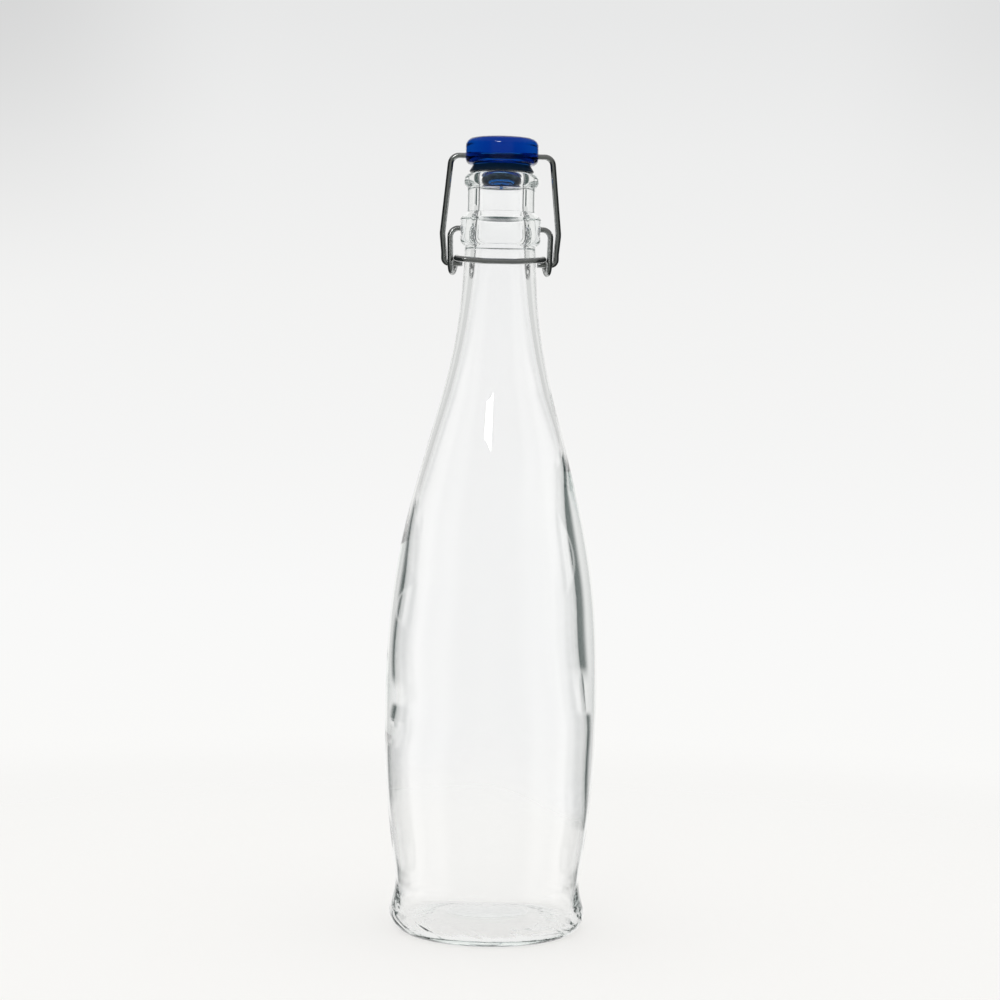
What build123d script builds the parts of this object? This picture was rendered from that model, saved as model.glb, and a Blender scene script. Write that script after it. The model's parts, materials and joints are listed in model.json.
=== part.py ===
from build123d import *
from math import cos, radians, sin
import os

# Swing-top glass bottle. The origin is the centre of the foot ring, on the surface that the
# bottle stands on. +Z is up and the front, where the lever is lifted, faces -Y.
# Lengths are millimetres, radii are from the bottle's axis and heights are from the foot.

# Glass, outside
foot_inner_radius = 31.5
foot_outer_radius = 34.5
punt_height = 4.5
heel_middle = (38.1, 3.6)
heel_top = (39.0, 7.8)
body_stations = [
    (36.7, 19.3),
    (37.6, 27.3),
    (39.8, 43.5),
    (41.5, 63.0),
    (42.2, 91.8),
    (41.1, 124.0),
    (36.7, 156.0),
    (28.9, 188.0),
    (24.5, 204.0),
    (20.4, 219.8),
    (17.1, 235.6),
    (15.0, 253.0),
    (14.0, 272.7),
]
collar_radius = 16.0
collar_bottom = 275.6
collar_top = 283.6
collar_slope_top = 285.9
collar_round_start = (1, 0.4)
finish_radius = 13.4
bead_bottom = 295.6
bead_radius = 14.7
bead_middle = 299.0
lip_outer_radius = 12.4
lip_inner_radius = 10.3
lip_height = 301.4

# Glass, inside
mouth_depth = 2.2
bore_radius = 8.57
bore_bottom = 288.0
cavity_stations = [
    (9.2, 279.0),
    (10.3, 264.0),
    (11.9, 249.0),
    (14.0, 235.6),
    (17.4, 219.8),
    (26.0, 188.0),
    (33.8, 156.0),
    (38.2, 124.0),
    (39.3, 91.8),
    (38.5, 63.0),
    (36.8, 43.5),
    (34.8, 27.3),
    (34.6, 19.0),
    (36.0, 7.0),
]
cavity_floor_radius = 32.0
cavity_floor_edge = 3.0
cavity_floor_middle = 8.0

# Sockets for the lever's ends, one on each side of the collar
socket_radius = 2.4
socket_floor = 12.0
socket_floor_fillet = 0.8
socket_height = 278.45
socket_cut = collar_radius - socket_floor + 1.0

# Wires
wire_radius = 1.15
pivot_height = 279.6
pivot_end = 13.0

# Bail: the wire that crosses the stopper and hangs in the lever's eyes
cross_height = 308.3
pin_height = 265.65
pin_back = 0.8
pin_end = 14.8
shoulder_half_width = 20.0
hip_half_width = 23.0
hip_height = 277.5
knee_half_width = 22.25
knee_height = 270.0
shoulder_bend = 3.5
hip_bend = 8.0
knee_bend = 8.0
pin_bend = 2.2

# Lever: the wire that pivots in the collar and is lifted by its front bar
arm_half_width = 20.0
arm_bend = 3.4
eye_height = 265.15
eye_radius = 3.05
eye_outer_half_width = 19.55
eye_inner_half_width = 17.15
eye_corner_step = 45.0
eye_corners = 6
eye_fillet_share = 0.97
bar_front = -15.8
bar_end_height = 266.8
bar_middle_height = 266.0
bar_flat_half_width = 6.0
bar_corner_bend = 4.0
bar_sag_bend = 30.0

# Stopper: a round head and a spigot, moulded in one piece
head_radius = 14.45
head_bottom = 304.7
head_top = 316.0
head_edge_top = 3.6
head_edge_bottom = 2.8
head_dome = 0.6
head_crown_radius = 9.0
wire_hole_radius = 1.2
wire_hole_half_length = head_radius + 1.0
spigot_radius = 5.8
plug_radius = 8.0
plug_top = 299.2
plug_bottom = 295.9
plug_edge = 1.1
gate_radius = 0.6
gate_bottom = 294.9

# Gasket: a flared rubber washer with a boss that enters the mouth
gasket_top_radius = 11.3
skirt_radius = 12.95
skirt_bottom = 302.0
seat_height = 301.5
skirt_edge_width = 0.35
skirt_edge_height = 0.25
throat_middle = (8.85, 301.05)
throat_bottom = 300.2
boss_radius = 8.1
boss_tip_radius = 8.0
boss_edge = 0.6

# The glass is one revolved wall, open at the mouth. The two blind sockets are cut into the
# collar from the sides and end well short of the bore.
with BuildPart() as bottle:
    with BuildSketch(Plane.XZ):
        with BuildLine():
            punt = TangentArc((0, punt_height), (foot_inner_radius, 0), tangent=(1, 0))
            foot = Line(punt @ 1, (foot_outer_radius, 0))
            heel = ThreePointArc(foot @ 1, heel_middle, heel_top)
            body = Spline(
                heel @ 1,
                *body_stations,
                tangents=(heel % 1, (0, 1)),
                tangent_scalars=(1, 1),
            )
            collar_round = TangentArc(body @ 1, (collar_radius, collar_bottom), tangent=collar_round_start)
            collar_side = Line(collar_round @ 1, (collar_radius, collar_top))
            collar_slope = Line(collar_side @ 1, (finish_radius, collar_slope_top))
            finish = Line(collar_slope @ 1, (finish_radius, bead_bottom))
            bead = ThreePointArc(finish @ 1, (bead_radius, bead_middle), (lip_outer_radius, lip_height))
            lip = Line(bead @ 1, (lip_inner_radius, lip_height))
            mouth = TangentArc(lip @ 1, (bore_radius, lip_height - mouth_depth), tangent=(-1, 0))
            bore = Line(mouth @ 1, (bore_radius, bore_bottom))
            cavity = Spline(
                bore @ 1,
                *cavity_stations,
                tangents=((0, -1), (0, -1)),
                tangent_scalars=(1, 1),
            )
            cavity_heel = TangentArc(cavity @ 1, (cavity_floor_radius, cavity_floor_edge), tangent=cavity % 1)
            floor = Spline(
                cavity_heel @ 1,
                (0, cavity_floor_middle),
                tangents=(cavity_heel % 1, (-1, 0)),
            )
            Line(floor @ 1, punt @ 0)
        make_face()
    revolve(axis=Axis.Z)
    for side in (-1, 1):
        with BuildSketch(Plane.YZ.offset(side * socket_floor)):
            with Locations((0, socket_height)):
                Circle(socket_radius)
        extrude(amount=side * socket_cut, mode=Mode.SUBTRACT)
        circles = bottle.edges().filter_by(GeomType.CIRCLE)
        floor_plane = Plane.YZ.offset(side * socket_floor)
        socket_edge = circles.filter_by(lambda edge: floor_plane.contains(edge.center()))
        fillet(socket_edge, socket_floor_fillet)

# The head has softly rounded edges and a low dome. The spigot hangs below it and ends in a
# plug that holds the gasket on, with the stub of the moulding gate under its middle.
with BuildPart() as stopper:
    with BuildSketch(Plane.XZ):
        with BuildLine():
            crown = ThreePointArc(
                (0, head_top),
                (head_crown_radius / 2, head_top - head_dome / 4),
                (head_crown_radius, head_top - head_dome),
            )
            edge_top = TangentArc(
                crown @ 1,
                (head_radius, head_top - head_dome - head_edge_top),
                tangent=crown % 1,
            )
            flank = Line(edge_top @ 1, (head_radius, head_bottom + head_edge_bottom))
            edge_bottom = TangentArc(
                flank @ 1,
                (head_radius - head_edge_bottom, head_bottom),
                tangent=(0, -1),
            )
            underside = Line(edge_bottom @ 1, (spigot_radius, head_bottom))
            shank = Line(underside @ 1, (spigot_radius, plug_top))
            shelf = Line(shank @ 1, (plug_radius - plug_edge / 2, plug_top))
            plug_rim = TangentArc(shelf @ 1, (plug_radius, plug_top - plug_edge / 2), tangent=(1, 0))
            plug_side = Line(plug_rim @ 1, (plug_radius, plug_bottom + plug_edge))
            plug_toe = TangentArc(plug_side @ 1, (plug_radius - plug_edge, plug_bottom), tangent=(0, -1))
            plug_face = Line(plug_toe @ 1, (gate_radius, plug_bottom))
            gate_side = Line(plug_face @ 1, (gate_radius, gate_bottom))
            gate_face = Line(gate_side @ 1, (0, gate_bottom))
            Line(gate_face @ 1, crown @ 0)
        make_face()
    revolve(axis=Axis.Z)
    with BuildSketch(Plane.YZ):
        with Locations((0, cross_height)):
            Circle(wire_hole_radius)
    extrude(amount=wire_hole_half_length, both=True, mode=Mode.SUBTRACT)

# The gasket grips the spigot between the head and the plug. Its skirt flares down over the
# lip and its boss fills the mouth.
with BuildPart() as gasket:
    with BuildSketch(Plane.XZ):
        with BuildLine():
            top = Line((spigot_radius, head_bottom), (gasket_top_radius, head_bottom))
            flare = Line(top @ 1, (skirt_radius, skirt_bottom))
            skirt_lip = Line(flare @ 1, (skirt_radius - skirt_edge_width, skirt_bottom - skirt_edge_height))
            seat_slope = Line(skirt_lip @ 1, (lip_inner_radius, seat_height))
            throat = ThreePointArc(
                seat_slope @ 1,
                throat_middle,
                (boss_radius, throat_bottom),
            )
            boss = Line(throat @ 1, (boss_tip_radius, plug_top + boss_edge))
            toe = Line(boss @ 1, (boss_radius - boss_edge, plug_top))
            bottom = Line(toe @ 1, (spigot_radius, plug_top))
            Line(bottom @ 1, top @ 0)
        make_face()
    revolve(axis=Axis.Z)

# One half of the bail runs from the middle of the cross wire, over the shoulder and down the
# leg to the pin that points inwards through the lever's eye. The other half mirrors it.
def bail_back(height):
    """How far behind the axis the bail's flat plane lies at a height."""
    return pin_back * (cross_height - height) / (cross_height - pin_height)


bail_corners = [
    (0, 0, cross_height),
    (shoulder_half_width, 0, cross_height),
    (hip_half_width, bail_back(hip_height), hip_height),
    (knee_half_width, bail_back(knee_height), knee_height),
    (knee_half_width, pin_back, pin_height),
    (pin_end, pin_back, pin_height),
]
with BuildPart() as bail_wire:
    with BuildLine() as bail_line:
        bail_route = FilletPolyline(
            *bail_corners,
            radius=[shoulder_bend, hip_bend, knee_bend, pin_bend],
        )
    with BuildSketch(Plane(origin=bail_route @ 0, z_dir=bail_route % 0)):
        Circle(wire_radius)
    sweep(path=bail_line.wires()[0])
    mirror(about=Plane.YZ)

# One half of the lever runs from its end in the socket, out and down the arm, three quarters
# of a turn round the bail's pin, then forward beside the neck to the middle of the front bar.
# Each corner of the eye is a step further inwards, so that the wire passes beside its own arm.
eye_corner_radius = eye_radius / cos(radians(eye_corner_step / 2))
eye_pitch = (eye_outer_half_width - eye_inner_half_width) / (eye_corners - 1)
eye = []
for corner in range(eye_corners):
    turn = radians(eye_corner_step * (corner + 0.5))
    eye.append((
        eye_outer_half_width - eye_pitch * corner,
        pin_back - eye_corner_radius * cos(turn),
        eye_height - eye_corner_radius * sin(turn),
    ))

lever_corners = [
    (pivot_end, 0, pivot_height),
    (arm_half_width, 0, pivot_height),
    *eye,
    (eye_inner_half_width, bar_front, bar_end_height),
    (bar_flat_half_width, bar_front, bar_middle_height),
    (0, bar_front, bar_middle_height),
]
with BuildPart() as lever_wire:
    with BuildLine() as lever_line:
        lever_route = FilletPolyline(
            *lever_corners,
            radius=[
                arm_bend,
                *[eye_radius * eye_fillet_share] * eye_corners,
                bar_corner_bend,
                bar_sag_bend,
            ],
        )
    with BuildSketch(Plane(origin=lever_route @ 0, z_dir=lever_route % 0)):
        Circle(wire_radius)
    sweep(path=lever_line.wires()[0])
    mirror(about=Plane.YZ)

bottle.part.label = "bottle"
stopper.part.label = "stopper"
gasket.part.label = "gasket"
bail_wire.part.label = "bail_wire"
lever_wire.part.label = "lever_wire"

os.makedirs("parts", exist_ok=True)
export_step(bottle.part, "parts/bottle.step")
export_step(stopper.part, "parts/stopper.step")
export_step(gasket.part, "parts/gasket.step")
export_step(bail_wire.part, "parts/bail_wire.step")
export_step(lever_wire.part, "parts/lever_wire.step")
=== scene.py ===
import json
import math

import bmesh
import bpy
import numpy as np
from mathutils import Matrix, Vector


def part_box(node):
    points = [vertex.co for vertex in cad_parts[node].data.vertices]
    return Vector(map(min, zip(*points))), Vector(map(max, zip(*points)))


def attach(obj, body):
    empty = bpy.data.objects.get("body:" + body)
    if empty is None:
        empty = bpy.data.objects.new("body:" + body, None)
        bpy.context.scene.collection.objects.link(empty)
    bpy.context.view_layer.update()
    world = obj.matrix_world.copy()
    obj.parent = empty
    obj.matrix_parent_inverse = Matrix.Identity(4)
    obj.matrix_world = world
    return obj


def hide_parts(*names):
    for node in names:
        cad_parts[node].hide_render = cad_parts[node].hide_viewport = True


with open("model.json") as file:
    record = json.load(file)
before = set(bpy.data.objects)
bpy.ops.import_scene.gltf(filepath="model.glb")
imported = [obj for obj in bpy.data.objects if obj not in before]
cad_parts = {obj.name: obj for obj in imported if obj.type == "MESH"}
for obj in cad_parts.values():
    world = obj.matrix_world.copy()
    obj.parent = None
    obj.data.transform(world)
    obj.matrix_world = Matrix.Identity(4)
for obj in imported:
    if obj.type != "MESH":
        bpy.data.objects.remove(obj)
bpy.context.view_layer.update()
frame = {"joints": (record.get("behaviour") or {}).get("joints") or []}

MM = 0.001

# ---------------------------------------------------------------- places taken from the frame
joint_places = {joint["name"]: Vector(joint["pos_m"]) for joint in frame["joints"]}
pivot = joint_places["lever_pivot"]
pin = joint_places["bail_pivot"]
cross = joint_places["stopper_pivot"]
lip_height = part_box("bottle")[1].z / MM
head_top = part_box("stopper")[1].z / MM
gate_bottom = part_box("stopper")[0].z / MM
head_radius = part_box("stopper")[1].x / MM
head_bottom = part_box("gasket")[1].z / MM
plug_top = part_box("gasket")[0].z / MM
skirt_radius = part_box("gasket")[1].x / MM


# ---------------------------------------------------------------- mesh tools
def turn_outwards(mesh, weld=None):
    """Turns every face of a closed mesh outwards, after welding points nearer than weld."""
    work = bmesh.new()
    work.from_mesh(mesh)
    if weld:
        bmesh.ops.remove_doubles(work, verts=work.verts, dist=weld)
    bmesh.ops.recalc_face_normals(work, faces=work.faces)
    work.to_mesh(mesh)
    work.free()


def new_piece(name, vertices, faces, body, replaced):
    """Makes a smooth mesh object that rides on a body and stands for a CAD node."""
    mesh = bpy.data.meshes.new(name)
    mesh.from_pydata([tuple(v) for v in vertices], [], faces)
    mesh.validate()
    turn_outwards(mesh, weld=1e-7)
    mesh.polygons.foreach_set("use_smooth", [True] * len(mesh.polygons))
    piece = bpy.data.objects.new(name, mesh)
    bpy.context.scene.collection.objects.link(piece)
    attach(piece, body)
    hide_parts(replaced)
    return piece


def natural_curve(stations, count):
    """Points on a smooth curve through (radius, height) stations, evenly spaced by chord."""
    points = np.array(stations, float)
    knots = np.concatenate([[0], np.cumsum(np.linalg.norm(np.diff(points, axis=0), axis=1))])
    n = len(points)
    matrix = np.zeros((n, n))
    right = np.zeros((n, 2))
    matrix[0, 0] = matrix[-1, -1] = 1
    for i in range(1, n - 1):
        before, after = knots[i] - knots[i - 1], knots[i + 1] - knots[i]
        matrix[i, i - 1:i + 2] = before, 2 * (before + after), after
        right[i] = 6 * ((points[i + 1] - points[i]) / after - (points[i] - points[i - 1]) / before)
    bend = np.linalg.solve(matrix, right)
    result = []
    for t in np.linspace(0, knots[-1], count):
        i = min(np.searchsorted(knots, t, side="right") - 1, n - 2)
        span = knots[i + 1] - knots[i]
        a, b = (knots[i + 1] - t) / span, (t - knots[i]) / span
        result.append(
            a * points[i] + b * points[i + 1]
            + ((a ** 3 - a) * bend[i] + (b ** 3 - b) * bend[i + 1]) * span ** 2 / 6
        )
    return result


def arc(start, middle, end, count):
    """Points on the circle through three (radius, height) points."""
    (ax, ay), (bx, by), (cx, cy) = start, middle, end
    d = 2 * (ax * (by - cy) + bx * (cy - ay) + cx * (ay - by))
    a_square, b_square, c_square = ax ** 2 + ay ** 2, bx ** 2 + by ** 2, cx ** 2 + cy ** 2
    ux = (a_square * (by - cy) + b_square * (cy - ay) + c_square * (ay - by)) / d
    uy = (a_square * (cx - bx) + b_square * (ax - cx) + c_square * (bx - ax)) / d
    first = math.atan2(ay - uy, ax - ux)
    through = (math.atan2(by - uy, bx - ux) - first) % math.tau
    last = (math.atan2(cy - uy, cx - ux) - first) % math.tau
    if through > last:
        last -= math.tau
    radius = math.hypot(ax - ux, ay - uy)
    return [
        np.array((ux + radius * math.cos(first + last * t), uy + radius * math.sin(first + last * t)))
        for t in np.linspace(0, 1, count)
    ]


def rounded(corner_before, corner, corner_after, radius, count):
    """Points of the fillet arc at a corner between two straight runs, in any dimension."""
    before, at, after = (np.array(p, float) for p in (corner_before, corner, corner_after))
    u = (before - at) / np.linalg.norm(before - at)
    v = (after - at) / np.linalg.norm(after - at)
    half = math.acos(np.clip(u @ v, -1, 1)) / 2
    reach = radius / math.tan(half)
    bisector = (u + v) / np.linalg.norm(u + v)
    centre = at + bisector * radius / math.sin(half)
    start, end = at + u * reach - centre, at + v * reach - centre
    sweep = math.pi - 2 * half
    return [
        centre + (start * math.sin((1 - t) * sweep) + end * math.sin(t * sweep)) / math.sin(sweep)
        for t in np.linspace(0, 1, count)
    ]


def lathe(profile, segments, radius_change=None):
    """Vertices and faces of a profile turned about the axis. Ends on the axis close the solid."""
    vertices = []
    rows = []
    for row, (radius, height) in enumerate(profile):
        if radius < 1e-6:
            rows.append([len(vertices)])
            vertices.append((0, 0, height * MM))
            continue
        rows.append(list(range(len(vertices), len(vertices) + segments)))
        for k in range(segments):
            turn = math.tau * k / segments
            r = radius
            if radius_change:
                r = radius + radius_change(row, radius, height, turn)
            vertices.append((r * math.cos(turn) * MM, r * math.sin(turn) * MM, height * MM))
    faces = []
    for a, b in zip(rows, rows[1:]):
        for k in range(segments):
            n = (k + 1) % segments
            if len(a) == 1 and len(b) == 1:
                continue
            if len(a) == 1:
                faces.append((a[0], b[k], b[n]))
            elif len(b) == 1:
                faces.append((a[k], b[0], a[n]))
            else:
                faces.append((a[k], b[k], b[n], a[n]))
    return vertices, faces


# ---------------------------------------------------------------- bottle
bottle_segments = 240
foot_inner_radius = 31.5
foot_outer_radius = 34.5
punt_height = 4.5
heel_middle = (38.1, 3.6)
heel_top = (39.0, 7.8)
body_stations = [
    (36.7, 19.3), (37.6, 27.3), (39.8, 43.5), (41.5, 63.0), (42.19, 91.8), (41.1, 124.0),
    (36.7, 156.0), (28.9, 188.0), (24.5, 204.0), (20.4, 219.8), (17.1, 235.6), (15.0, 253.0),
    (14.0, 272.7),
]
collar_radius = 16.0
collar_bottom = 275.6
collar_top = 283.6
collar_slope_top = 285.9
finish_radius = 13.4
bead_bottom = 295.6
bead_middle = (14.7, 299.0)
lip_outer_radius = 12.4
lip_inner_radius = 10.3
mouth_depth = 2.2
bore_radius = 8.57
bore_bottom = 288.0
cavity_stations = [
    (9.2, 279.0), (10.3, 264.0), (11.9, 249.0), (14.0, 235.6), (17.4, 219.8), (26.0, 188.0),
    (33.8, 156.0), (38.2, 124.0), (39.3, 91.8), (38.5, 63.0), (36.8, 43.5), (34.8, 27.3),
    (34.6, 19.0), (36.0, 7.0),
]
cavity_heel_middle = (34.83, 4.17)
cavity_floor_edge = (32.0, 3.0)
cavity_floor_stations = [(22.0, 4.2), (11.0, 6.8), (0, 8.0)]

# How much thicker than even the wall is on the right and on the left: (height, extra) in mm
uneven_top = 215
right_wall = [
    (25, -0.7), (35, -1.1), (45, -1.0), (55, -0.3), (70, 0.1), (82, 0.3), (90, 0.9), (97, 1.6),
    (104, 2.2), (112, 2.7), (121, 2.8), (132, 2.6), (150, 2.6), (164, 2.3), (172, 1.6),
    (179, 0.6), (186, -0.3), (196, -0.7), (206, -0.5), (uneven_top, 0),
]
left_wall = [
    (25, -0.7), (35, -1.1), (48, -1.3), (65, -1.2), (75, -0.7), (82, 0.3), (88, 0.9), (96, 0.6),
    (108, 0.1), (124, 0.3), (140, 0.8), (156, -0.1), (170, -0.7), (185, -0.5), (200, -0.3),
    (uneven_top, 0),
]
wall_fade_length = 20
lobe_sharpness = 1.2
foot_unevenness = 0.5
foot_uneven_width = 9
floor_unevenness = 0.3
floor_uneven_scale = 20
seam_turn = math.radians(264.5)
seam_depth = 0.04
socket_radius = 2.4
socket_floor = 12.0
socket_height = 278.45


def uneven(turn, seed):
    """A smooth, repeatable unevenness between about -1 and 1 round the axis."""
    waves, drift, spread = (3, 7, 11, 19, 31, 43), 1.7, 3.2
    return sum(math.sin(turn * k + seed * k * drift + k * k) / spread for k in waves)


def cut_hole(piece, profile, side, height):
    """Cuts a round hole along X, given by its (radius, distance from the axis) profile."""
    vertices, faces = lathe(profile, 40)
    turned = [(side * z, y, x + height * MM) for x, y, z in vertices]
    mesh = bpy.data.meshes.new("hole_cutter")
    mesh.from_pydata(turned, [], faces)
    turn_outwards(mesh)
    cutter = bpy.data.objects.new("hole_cutter", mesh)
    bpy.context.scene.collection.objects.link(cutter)
    cut = piece.modifiers.new("hole", "BOOLEAN")
    cut.operation = "DIFFERENCE"
    cut.solver = "EXACT"
    cut.object = cutter
    bpy.context.view_layer.update()
    shape = bpy.data.meshes.new_from_object(piece.evaluated_get(bpy.context.evaluated_depsgraph_get()))
    piece.modifiers.remove(cut)
    piece.data = shape
    bpy.data.objects.remove(cutter)
    shape.polygons.foreach_set("use_smooth", [True] * len(shape.polygons))


def socket_profile():
    """The blind, round-bottomed hole that one end of the lever turns in."""
    rim, floor_round, steps = collar_radius + 1.0, 0.8, 6
    profile = [np.array((0, socket_floor))]
    for t in np.linspace(0, math.pi / 2, steps):
        profile.append(np.array((socket_radius - floor_round * (1 - math.sin(t)),
                                 socket_floor + floor_round * (1 - math.cos(t)))))
    return profile + [np.array((socket_radius, rim)), np.array((0, rim))]


def build_bottle():
    outside = [np.array((r, punt_height * (1 - (r / foot_inner_radius) ** 2) ** 1.5))
               for r in np.linspace(0, foot_inner_radius, 24)]
    outside.append(np.array((foot_outer_radius, 0)))
    outside += arc((foot_outer_radius, 0), heel_middle, heel_top, 14)[1:]
    outside += natural_curve([heel_top] + body_stations, 170)[1:]
    outside += arc(body_stations[-1], (15.4, 273.7), (collar_radius, collar_bottom), 8)[1:]
    outside += rounded((collar_radius, collar_bottom), (collar_radius, collar_top),
                       (finish_radius, collar_slope_top), 0.8, 6)
    outside += rounded((collar_radius, collar_top), (finish_radius, collar_slope_top),
                       (finish_radius, bead_bottom), 0.8, 6)
    outside += [np.array((finish_radius, z))
                for z in np.linspace(collar_slope_top + 1.2, bead_bottom - 0.3, 8)]
    outside += arc((finish_radius, bead_bottom), bead_middle, (lip_outer_radius, lip_height), 18)
    lip_row = len(outside)
    outside += arc((lip_inner_radius, lip_height), (9.0, lip_height - 0.75),
                   (bore_radius, lip_height - mouth_depth), 8)
    outside += [np.array((bore_radius, z))
                for z in np.linspace(lip_height - mouth_depth - 0.8, bore_bottom + 1, 8)]
    outside += natural_curve([(bore_radius, bore_bottom)] + cavity_stations, 180)
    outside += arc(cavity_stations[-1], cavity_heel_middle, cavity_floor_edge, 14)[1:]
    outside += natural_curve([cavity_floor_edge, *cavity_floor_stations], 24)[1:]
    outside[0][0] = 0
    outside[-1][0] = 0
    right = np.array(natural_curve(right_wall, 160))
    left = np.array(natural_curve(left_wall, 160))
    wall_bottom = cavity_stations[-1][1]

    def wall_change(row, radius, height, turn):
        if row < lip_row:
            if foot_inner_radius - foot_uneven_width < radius < foot_inner_radius and height < punt_height:
                return foot_unevenness * uneven(turn, radius)
            if abs((turn - seam_turn + math.pi / 2) % math.pi - math.pi / 2) < math.pi / bottle_segments:
                return -seam_depth if radius > foot_outer_radius or height > collar_top else 0
            return 0
        if radius > cavity_floor_edge[0] and height < wall_bottom:
            return floor_unevenness * uneven(turn, height / floor_uneven_scale)
        if height > uneven_top or height < wall_bottom:
            return 0
        fade = min(1.0, (height - wall_bottom) / wall_fade_length)
        towards_right = fade * max(0.0, math.cos(turn)) ** lobe_sharpness
        towards_left = fade * max(0.0, -math.cos(turn)) ** lobe_sharpness
        return (-np.interp(height, right[:, 0], right[:, 1]) * towards_right
                - np.interp(height, left[:, 0], left[:, 1]) * towards_left)

    vertices, faces = lathe(outside, bottle_segments, wall_change)
    piece = new_piece("bottle_glass", vertices, faces, "bottle", "bottle")
    for side in (-1, 1):
        cut_hole(piece, socket_profile(), side, socket_height)
    return piece


bottle = build_bottle()

# ---------------------------------------------------------------- wires
wire_radius = 1.15
wire_sides = 24


def bent_route(corners, radii):
    """A wire's centre line in mm: straight runs joined by round bends."""
    route = [np.array(corners[0], float)]
    for i, radius in enumerate(radii, start=1):
        bend = rounded(corners[i - 1], corners[i], corners[i + 1], radius, 12)
        route += [p for p in bend if np.linalg.norm(p - route[-1]) > 0.02]
    route.append(np.array(corners[-1], float))
    dense = [route[0]]
    for a, b in zip(route, route[1:]):
        steps = max(1, int(np.linalg.norm(b - a) / 1.2))
        dense += [a + (b - a) * (k + 1) / steps for k in range(steps)]
    return dense


def tube(route, radius):
    """A round wire swept along a route, with a small chamfer on each cut end."""
    points = np.array(route)
    steps = np.linalg.norm(np.diff(points, axis=0), axis=1)
    ends_in = 0.25
    first = points[0] + (points[1] - points[0]) / steps[0] * min(ends_in, steps[0] * 0.5)
    last = points[-1] + (points[-2] - points[-1]) / steps[-1] * min(ends_in, steps[-1] * 0.5)
    points = np.vstack([points[:1], [first], points[1:-1], [last], points[-1:]])
    tangents = np.gradient(points, axis=0)
    tangents /= np.linalg.norm(tangents, axis=1)[:, None]
    side = np.cross(tangents[0], (0, 0, 1.0))
    if np.linalg.norm(side) < 0.1:
        side = np.cross(tangents[0], (0, 1.0, 0))
    vertices = []
    for i, (p, t) in enumerate(zip(points, tangents)):
        side = side - t * (side @ t)
        side /= np.linalg.norm(side)
        up = np.cross(t, side)
        r = radius * (0.8 if i in (0, len(points) - 1) else 1)
        for k in range(wire_sides):
            turn = math.tau * k / wire_sides
            vertices.append((p + r * (side * math.cos(turn) + up * math.sin(turn))) * MM)
    faces = []
    for i in range(len(points) - 1):
        for k in range(wire_sides):
            n = (k + 1) % wire_sides
            a, b = i * wire_sides, (i + 1) * wire_sides
            faces.append((a + k, a + n, b + n, b + k))
    for ring, step in ((0, 1), ((len(points) - 1) * wire_sides, -1)):
        faces.append(tuple(ring + (k * step) % wire_sides for k in range(wire_sides)))
    return vertices, faces


def mirrored(half):
    """The whole route from the half of it that lies to the right of the middle plane."""
    return half + [(-x, y, z) for x, y, z in reversed(half)]


def build_bail():
    cross_height, pin_height, pin_back = cross.z / MM, pin.z / MM, pin.y / MM

    def back(height):
        return pin_back * (cross_height - height) / (cross_height - pin_height)

    hip, knee = (23.0, 277.5), (22.25, 270.0)
    half = [
        (14.8, pin_back, pin_height),
        (knee[0], pin_back, pin_height),
        (knee[0], back(knee[1]), knee[1]),
        (hip[0], back(hip[1]), hip[1]),
        (20.0, 0, cross_height),
    ]
    bends = [2.2, 8.0, 8.0, 3.5]
    vertices, faces = tube(bent_route(mirrored(half), bends + bends[::-1]), wire_radius)
    return new_piece("bail_steel_wire", vertices, faces, "bail", "bail_wire")


def build_lever():
    pin_back = pin.y / MM
    eye_radius, eye_height = 3.05, pin.z / MM - 0.5
    outer, inner, eye_corners, step = 19.55, 17.15, 6, math.radians(45)
    bar_front, bar_height, bar_end_height = -15.8, 266.0, 266.8
    corner_radius = eye_radius / math.cos(step / 2)
    pitch = (outer - inner) / (eye_corners - 1)
    eye = [
        (outer - pitch * k,
         pin_back - corner_radius * math.cos(step * (k + 0.5)),
         eye_height - corner_radius * math.sin(step * (k + 0.5)))
        for k in range(eye_corners)
    ]
    half = [
        (13.0, 0, pivot.z / MM),
        (20.0, 0, pivot.z / MM),
        *eye,
        (inner, bar_front, bar_end_height),
        (6.0, bar_front, bar_height),
    ]
    bends = [3.4] + [eye_radius * 0.97] * eye_corners + [4.0, 30.0]
    vertices, faces = tube(bent_route(mirrored(half), bends + bends[::-1]), wire_radius)
    return new_piece("lever_steel_wire", vertices, faces, "lever", "lever_wire")


bail = build_bail()
lever = build_lever()


# ---------------------------------------------------------------- stopper and gasket
seat_gap = 0.05  # the film of air between the rubber and the plastic
boss_bottom = plug_top - 0.5  # where the rubber ends and the plug shows
spigot_radius = 5.8
wire_hole_radius = 1.2


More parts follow.
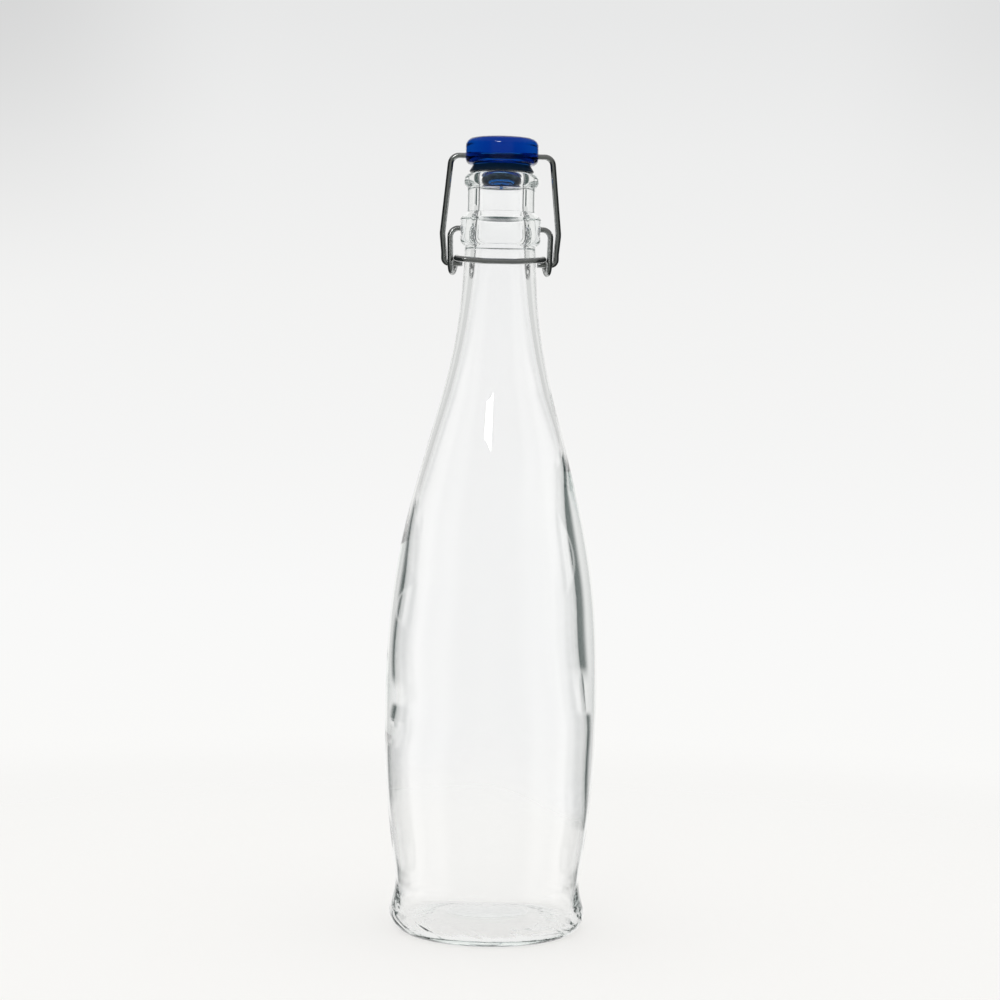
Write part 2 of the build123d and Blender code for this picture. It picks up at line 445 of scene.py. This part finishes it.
def build_stopper():
    crown_radius, head_dome, edge_top, edge_bottom = 9.0, 0.6, 3.1, 2.4
    plug_radius, plug_top_edge, plug_edge, plug_bottom = 8.0, 0.4, 1.3, 295.9
    gate_radius = 0.6
    profile = [np.array((r, head_top - head_dome * (r / crown_radius) ** 2))
               for r in np.linspace(0, crown_radius, 12)]
    profile += rounded((crown_radius, head_top - head_dome), (head_radius, head_top - head_dome - 0.35),
                       (head_radius, head_bottom), edge_top, 16)
    profile += rounded((head_radius, head_top), (head_radius, head_bottom),
                       (spigot_radius, head_bottom), edge_bottom, 14)
    profile += [np.array((r, head_bottom)) for r in (10.4, 8.2, spigot_radius + 0.15)]
    shelf = boss_bottom - seat_gap
    profile += [np.array((spigot_radius, z)) for z in (head_bottom - 0.15, 302.0, shelf + 0.1)]
    profile += [np.array((r, shelf)) for r in (spigot_radius + 0.1, 6.6)]
    profile += rounded((6.6, shelf), (plug_radius, shelf), (plug_radius, plug_bottom),
                       plug_top_edge, 6)
    profile += rounded((plug_radius, shelf), (plug_radius, plug_bottom), (0, plug_bottom), plug_edge, 8)
    profile += [np.array((r, plug_bottom)) for r in (4.0, gate_radius + 0.3)]
    profile += [np.array((gate_radius + 0.05, plug_bottom - 0.12)),
                np.array((gate_radius, gate_bottom + 0.2)),
                np.array((gate_radius - 0.15, gate_bottom)),
                np.array((0.0, gate_bottom))]
    profile[0][0] = 0
    vertices, faces = lathe(profile, 128)
    piece = new_piece("stopper_moulding", vertices, faces, "stopper", "stopper")
    reach = head_radius + 1.0
    hole = [np.array((0, -reach)), np.array((wire_hole_radius, -reach)),
            np.array((wire_hole_radius, reach)), np.array((0, reach))]
    cut_hole(piece, hole, 1, cross.z / MM)
    return piece


def build_gasket():
    boss_radius, boss_edge = 8.1, 0.6
    throat_middle, throat_bottom = (8.85, 301.05), 300.2
    seat = lip_height + 0.1
    skirt_bottom = 302.0
    top = head_bottom - seat_gap
    profile = [np.array((spigot_radius + seat_gap, top)), np.array((11.0, top))]
    profile += rounded((9.0, top), (11.3, top), (skirt_radius, skirt_bottom), 0.3, 5)
    profile += rounded((11.3, top), (skirt_radius, skirt_bottom), (lip_inner_radius, seat), 0.35, 8)
    profile += arc((lip_inner_radius, seat), throat_middle, (boss_radius, throat_bottom), 8)
    profile += rounded((boss_radius, throat_bottom), (8.0, boss_bottom + boss_edge),
                       (boss_radius - boss_edge, boss_bottom), 0.3, 5)
    profile += [np.array((boss_radius - boss_edge, boss_bottom)),
                np.array((spigot_radius + seat_gap, boss_bottom))]
    profile.append(profile[0])
    vertices, faces = lathe(profile, 128)
    return new_piece("rubber_gasket", vertices, faces, "stopper", "gasket")


stopper = build_stopper()
gasket = build_gasket()


# ---------------------------------------------------------------- materials
def shader(name):
    material = bpy.data.materials.new(name)
    material.use_nodes = True
    nodes, links = material.node_tree.nodes, material.node_tree.links
    return material, nodes, links, nodes["Principled BSDF"]


def noise(nodes, links, scale, detail, stretch=(1, 1, 1)):
    place = nodes.new("ShaderNodeTexCoord")
    mapping = nodes.new("ShaderNodeMapping")
    mapping.inputs["Scale"].default_value = stretch
    texture = nodes.new("ShaderNodeTexNoise")
    texture.inputs["Scale"].default_value = scale
    texture.inputs["Detail"].default_value = detail
    links.new(place.outputs["Object"], mapping.inputs["Vector"])
    links.new(mapping.outputs["Vector"], texture.inputs["Vector"])
    return texture


def bump(nodes, links, height, principled, strength, distance):
    node = nodes.new("ShaderNodeBump")
    node.inputs["Strength"].default_value = strength
    node.inputs["Distance"].default_value = distance
    links.new(height, node.inputs["Height"])
    links.new(node.outputs["Normal"], principled.inputs["Normal"])


def glass_material():
    material, nodes, links, principled = shader("clear_glass")
    principled.inputs["Base Color"].default_value = (1, 1, 1, 1)
    principled.inputs["Roughness"].default_value = 0
    principled.inputs["IOR"].default_value = 1.52
    principled.inputs["Transmission Weight"].default_value = 1
    ripple = noise(nodes, links, 30, 2, (1, 1, 0.4))
    bump(nodes, links, ripple.outputs["Fac"], principled, 0.05, 0.0005)
    volume = nodes.new("ShaderNodeVolumeAbsorption")
    volume.inputs["Color"].default_value = (0.80, 0.92, 0.88, 1)
    volume.inputs["Density"].default_value = 5
    links.new(volume.outputs["Volume"], nodes["Material Output"].inputs["Volume"])
    return material


def plastic_material():
    material, nodes, links, principled = shader("blue_plastic")
    principled.inputs["Base Color"].default_value = (0.9, 0.96, 1, 1)
    principled.inputs["Roughness"].default_value = 0.03
    principled.inputs["IOR"].default_value = 1.49
    principled.inputs["Specular IOR Level"].default_value = 0.3
    principled.inputs["Transmission Weight"].default_value = 1
    ripple = noise(nodes, links, 90, 4, (1, 1, 5))
    bump(nodes, links, ripple.outputs["Fac"], principled, 0.3, 0.0006)
    volume = nodes.new("ShaderNodeVolumeAbsorption")
    volume.inputs["Color"].default_value = (0.0, 0.55, 0.83, 1)
    volume.inputs["Density"].default_value = 270
    links.new(volume.outputs["Volume"], nodes["Material Output"].inputs["Volume"])
    return material


def rubber_material():
    material, nodes, links, principled = shader("dark_rubber")
    principled.inputs["Base Color"].default_value = (0.002, 0.012, 0.03, 1)
    principled.inputs["Roughness"].default_value = 0.35
    principled.inputs["Specular IOR Level"].default_value = 0.2
    grain = noise(nodes, links, 900, 4)
    bump(nodes, links, grain.outputs["Fac"], principled, 0.2, 0.0002)
    return material


def steel_material(name):
    tone = 0.58
    material, nodes, links, principled = shader(name)
    principled.inputs["Metallic"].default_value = 1
    principled.inputs["Base Color"].default_value = (tone, tone * 1.01, tone, 1)
    principled.inputs["Roughness"].default_value = 0.2
    grain = noise(nodes, links, 1500, 3, (1, 1, 0.15))
    bump(nodes, links, grain.outputs["Fac"], principled, 0.25, 0.0001)
    return material


bottle.data.materials.append(glass_material())
stopper.data.materials.append(plastic_material())
gasket.data.materials.append(rubber_material())
bail.data.materials.append(steel_material("bail_steel"))
lever.data.materials.append(steel_material("lever_steel"))

# ---------------------------------------------------------------- studio
scene = bpy.context.scene
scene.view_settings.view_transform = "Standard"
scene.cycles.max_bounces = 48
scene.cycles.glossy_bounces = 40
scene.cycles.transmission_bounces = 48

camera_distance = 0.966
camera_height = 0.216
camera_pitch = math.radians(2.61)
camera_roll = math.radians(1.186)
sensor_width = 36
focal_share = 2.425  # the focal length in sensor widths
axis_shift = 0.0011

camera_data = bpy.data.cameras.new("camera")
camera_data.sensor_width = sensor_width
camera_data.lens = sensor_width * focal_share
camera = bpy.data.objects.new("camera", camera_data)
camera.location = (axis_shift, -camera_distance, camera_height)
camera.rotation_euler = (math.pi / 2 - camera_pitch, -camera_roll, 0)
scene.collection.objects.link(camera)
scene.camera = camera


class Sums:
    """Small helper that adds math nodes to a node tree."""

    def __init__(self, tree):
        self.nodes, self.links = tree.nodes, tree.links

    def put(self, socket, value):
        if isinstance(value, (int, float)):
            socket.default_value = value
        else:
            self.links.new(value, socket)

    def math(self, operation, a, b=0.0):
        node = self.nodes.new("ShaderNodeMath")
        node.operation = operation
        self.put(node.inputs[0], a)
        self.put(node.inputs[1], b)
        return node.outputs[0]

    def steps(self, value, low, high, out_low=0.0, out_high=1.0):
        node = self.nodes.new("ShaderNodeMapRange")
        node.interpolation_type = "SMOOTHSTEP"
        self.put(node.inputs["Value"], value)
        limits = {"From Min": low, "From Max": high, "To Min": out_low, "To Max": out_high}
        for name, number in limits.items():
            node.inputs[name].default_value = number
        return node.outputs["Result"]

    def ramp(self, value, stops):
        node = self.nodes.new("ShaderNodeValToRGB")
        self.put(node.inputs["Fac"], value)
        points = node.color_ramp.elements
        while len(points) < len(stops):
            points.new(0.5)
        for point, (place, colour) in zip(points, stops):
            point.position = place
            point.color = (*colour, 1)
        return node.outputs["Color"]

    def mix(self, factor, a, b):
        node = self.nodes.new("ShaderNodeMix")
        node.data_type = "RGBA"
        self.put(node.inputs[0], factor)
        for socket, value in ((node.inputs[6], a), (node.inputs[7], b)):
            if isinstance(value, tuple):
                socket.default_value = (*value, 1)
            else:
                self.links.new(value, socket)
        return node.outputs[2]


def build_world():
    """A pale backdrop that the camera sees, with a dark room to each side of it that only
    light bent inside the glass, or mirrored by the steel, picks up. Directions aside are in
    degrees away from the line through the camera, heights are the direction's own Z."""
    world = bpy.data.worlds.new("studio")
    scene.world = world
    world.use_nodes = True
    tree = world.node_tree
    sums = Sums(tree)
    place = tree.nodes.new("ShaderNodeTexCoord")
    split = tree.nodes.new("ShaderNodeSeparateXYZ")
    tree.links.new(place.outputs["Generated"], split.inputs["Vector"])
    x, y, z = split.outputs
    flat = sums.math("SQRT", sums.math("ADD", sums.math("MULTIPLY", x, x), sums.math("MULTIPLY", y, y)))
    sideways = sums.math("DIVIDE", sums.math("ABSOLUTE", y), flat)

    height = sums.math("MULTIPLY_ADD", z, 2.0)
    height.node.inputs[2].default_value = 0.5
    backdrop = sums.ramp(height, [
        (0.0, (0.915, 0.913, 0.895)), (0.10, (0.925, 0.922, 0.91)), (0.20, (0.955, 0.953, 0.94)),
        (0.33, (0.945, 0.945, 0.94)), (0.45, (0.915, 0.915, 0.91)), (0.573, (0.893, 0.893, 0.888)),
        (0.695, (0.855, 0.857, 0.855)), (0.80, (0.805, 0.808, 0.808)), (0.95, (0.77, 0.775, 0.775)),
    ])
    left = sums.steps(x, -0.10, -0.21, 0, 0.16)
    right = sums.steps(x, 0.12, 0.21, 0, 0.07)
    corner = sums.math("MULTIPLY", sums.math("ADD", left, right), sums.steps(z, 0.02, 0.16))
    backdrop = sums.mix(corner, backdrop, (0, 0, 0))
    dark_room = (0.06, 0.085, 0.08)
    aside = sums.math("DIVIDE", sums.math("ARCCOSINE", sideways), math.radians(1))
    wide = sums.math("MULTIPLY", sums.steps(aside, 23, 38), sums.steps(aside, 64, 74, 1, 0))
    low_left = sums.math("MULTIPLY", sums.steps(x, 0.0, -0.1), sums.steps(z, 0.09, 0.065))
    narrow = sums.math("MULTIPLY", low_left, sums.steps(aside, 27, 40))
    narrow = sums.math("MAXIMUM", sums.steps(aside, 40, 43), narrow)
    narrow = sums.math("MULTIPLY", narrow, sums.steps(aside, 49, 54, 1, 0))
    far_line = sums.math("MULTIPLY", sums.steps(aside, 61, 65), sums.steps(aside, 68, 74, 1, 0))
    narrow = sums.math("MAXIMUM", narrow, far_line)
    low = sums.steps(z, 0.06, 0.03)
    middle = sums.math("MULTIPLY", sums.steps(z, 0.03, 0.06), sums.steps(z, 0.14, 0.11))
    high = sums.steps(z, 0.11, 0.14, 0, 0.25)
    dark = sums.math("MULTIPLY", wide, sums.math("MAXIMUM", low, high))
    dark = sums.math("MAXIMUM", dark, sums.math("MULTIPLY", narrow, middle))
    dark = sums.math("MULTIPLY", dark, sums.steps(z, 0.35, 0.6, 1, 0))
    dark = sums.math("MULTIPLY", dark, sums.steps(z, -0.25, -0.18))
    behind = sums.steps(y, -0.1, 0.1)
    bent = sums.mix(dark, (0.92, 0.92, 0.91), dark_room)
    ahead = sums.mix(sums.steps(aside, 38, 62), (0.16, 0.17, 0.18), (0.52, 0.53, 0.53))
    bent = sums.mix(behind, ahead, bent)
    overhead = sums.steps(z, 0.35, 0.7)
    front_lit = sums.math("MULTIPLY", sums.steps(aside, 45, 25), sums.steps(y, 0.0, -0.1))
    back_lit = sums.math("MULTIPLY", sums.steps(aside, 32, 20), sums.steps(y, 0.0, 0.1))
    mirror = sums.mix(front_lit, (0.012, 0.016, 0.016), (0.15, 0.16, 0.15))
    mirror = sums.mix(overhead, mirror, (0.22, 0.22, 0.22))
    mirror = sums.mix(back_lit, mirror, (0.92, 0.92, 0.91))

    path = tree.nodes.new("ShaderNodeLightPath")
    glossy = sums.math("GREATER_THAN", path.outputs["Glossy Depth"], 0.5)
    through = sums.math("GREATER_THAN", path.outputs["Transmission Depth"], 0.5)
    diffuse = sums.math("GREATER_THAN", path.outputs["Diffuse Depth"], 0.5)
    clear_view = sums.mix(sums.math("MULTIPLY", through, 0.65), backdrop, (1.07, 1.07, 1.07))
    seen = sums.mix(glossy, clear_view, sums.mix(through, mirror, bent))
    seen = sums.mix(diffuse, seen, (0.93, 0.93, 0.93))
    background = tree.nodes["Background"]
    tree.links.new(seen, background.inputs["Color"])
    background.inputs["Strength"].default_value = 1


def build_floor():
    """A pale disc that fades out with distance, so that no horizon line shows. It also glows: painted
    light that fills in the bottle's shadow on it, and it glows more where it is seen through the glass.
    """
    rings, spokes, fade_start = (0.06, 0.12, 0.2, 0.3, 0.42, 0.56), 64, 0.16
    # The floor's emission is painted light that washes out the bottle's shadow on it; the extra part is
    # painted light added only where the floor is seen through the glass.
    floor_glow, extra_glow_through_glass = 0.635, 0.11
    turns = [math.tau * k / spokes for k in range(spokes)]
    vertices = [(0, 0, 0)]
    for radius in rings:
        vertices += [(radius * math.cos(turn), radius * math.sin(turn), 0) for turn in turns]
    faces = [(0, 1 + k, 1 + (k + 1) % spokes) for k in range(spokes)]
    for ring in range(len(rings) - 1):
        a, b = 1 + ring * spokes, 1 + (ring + 1) * spokes
        faces += [(a + k, b + k, b + (k + 1) % spokes, a + (k + 1) % spokes) for k in range(spokes)]
    mesh = bpy.data.meshes.new("floor")
    mesh.from_pydata(vertices, [], faces)
    floor = bpy.data.objects.new("floor", mesh)
    scene.collection.objects.link(floor)
    floor.location.z = -0.05 * MM
    material, nodes, links, principled = shader("pale_floor")
    principled.inputs["Base Color"].default_value = (0.33, 0.33, 0.325, 1)
    principled.inputs["Roughness"].default_value = 1
    principled.inputs["Specular IOR Level"].default_value = 0
    principled.inputs["Emission Color"].default_value = (1, 0.99, 0.97, 1)
    sums = Sums(material.node_tree)
    place = nodes.new("ShaderNodeTexCoord")
    length = nodes.new("ShaderNodeVectorMath")
    length.operation = "LENGTH"
    links.new(place.outputs["Object"], length.inputs[0])
    gone = sums.steps(length.outputs["Value"], fade_start, rings[-1])
    path = nodes.new("ShaderNodeLightPath")
    glossy = sums.math("GREATER_THAN", path.outputs["Glossy Depth"], 0.5)
    gone = sums.math("MAXIMUM", gone, glossy)
    through = sums.math("GREATER_THAN", path.outputs["Transmission Depth"], 0.5)
    # painted glow, stronger where the floor is seen through the glass
    glow = sums.math("ADD", floor_glow, sums.math("MULTIPLY", through, extra_glow_through_glass))
    links.new(glow, principled.inputs["Emission Strength"])
    clear = nodes.new("ShaderNodeBsdfTransparent")
    blend = nodes.new("ShaderNodeMixShader")
    links.new(gone, blend.inputs["Fac"])
    links.new(principled.outputs["BSDF"], blend.inputs[1])
    links.new(clear.outputs["BSDF"], blend.inputs[2])
    links.new(blend.outputs["Shader"], nodes["Material Output"].inputs["Surface"])
    floor.data.materials.append(material)


def build_softbox():
    """A soft rectangular lamp in front, above and to the left of the camera."""
    distance, side, rise = 1.5, math.radians(15.4), math.radians(29.9)
    aim = Vector((0, -0.02, 0.2))
    light = bpy.data.lights.new("softbox", "AREA")
    light.shape = "RECTANGLE"
    light.size = 0.30
    light.size_y = 0.045
    light.energy = 1.2
    lamp = bpy.data.objects.new("softbox", light)
    offset = Vector((-math.sin(side) * math.cos(rise), -math.cos(side) * math.cos(rise), math.sin(rise)))
    lamp.location = aim + offset * distance
    lamp.rotation_euler = (-offset).to_track_quat("-Z", "Y").to_euler()
    lamp.visible_camera = False
    lamp.visible_transmission = False
    scene.collection.objects.link(lamp)


build_world()
build_floor()
build_softbox()

# ---------------------------------------------------------------- last update of the view layer
bpy.context.view_layer.update()
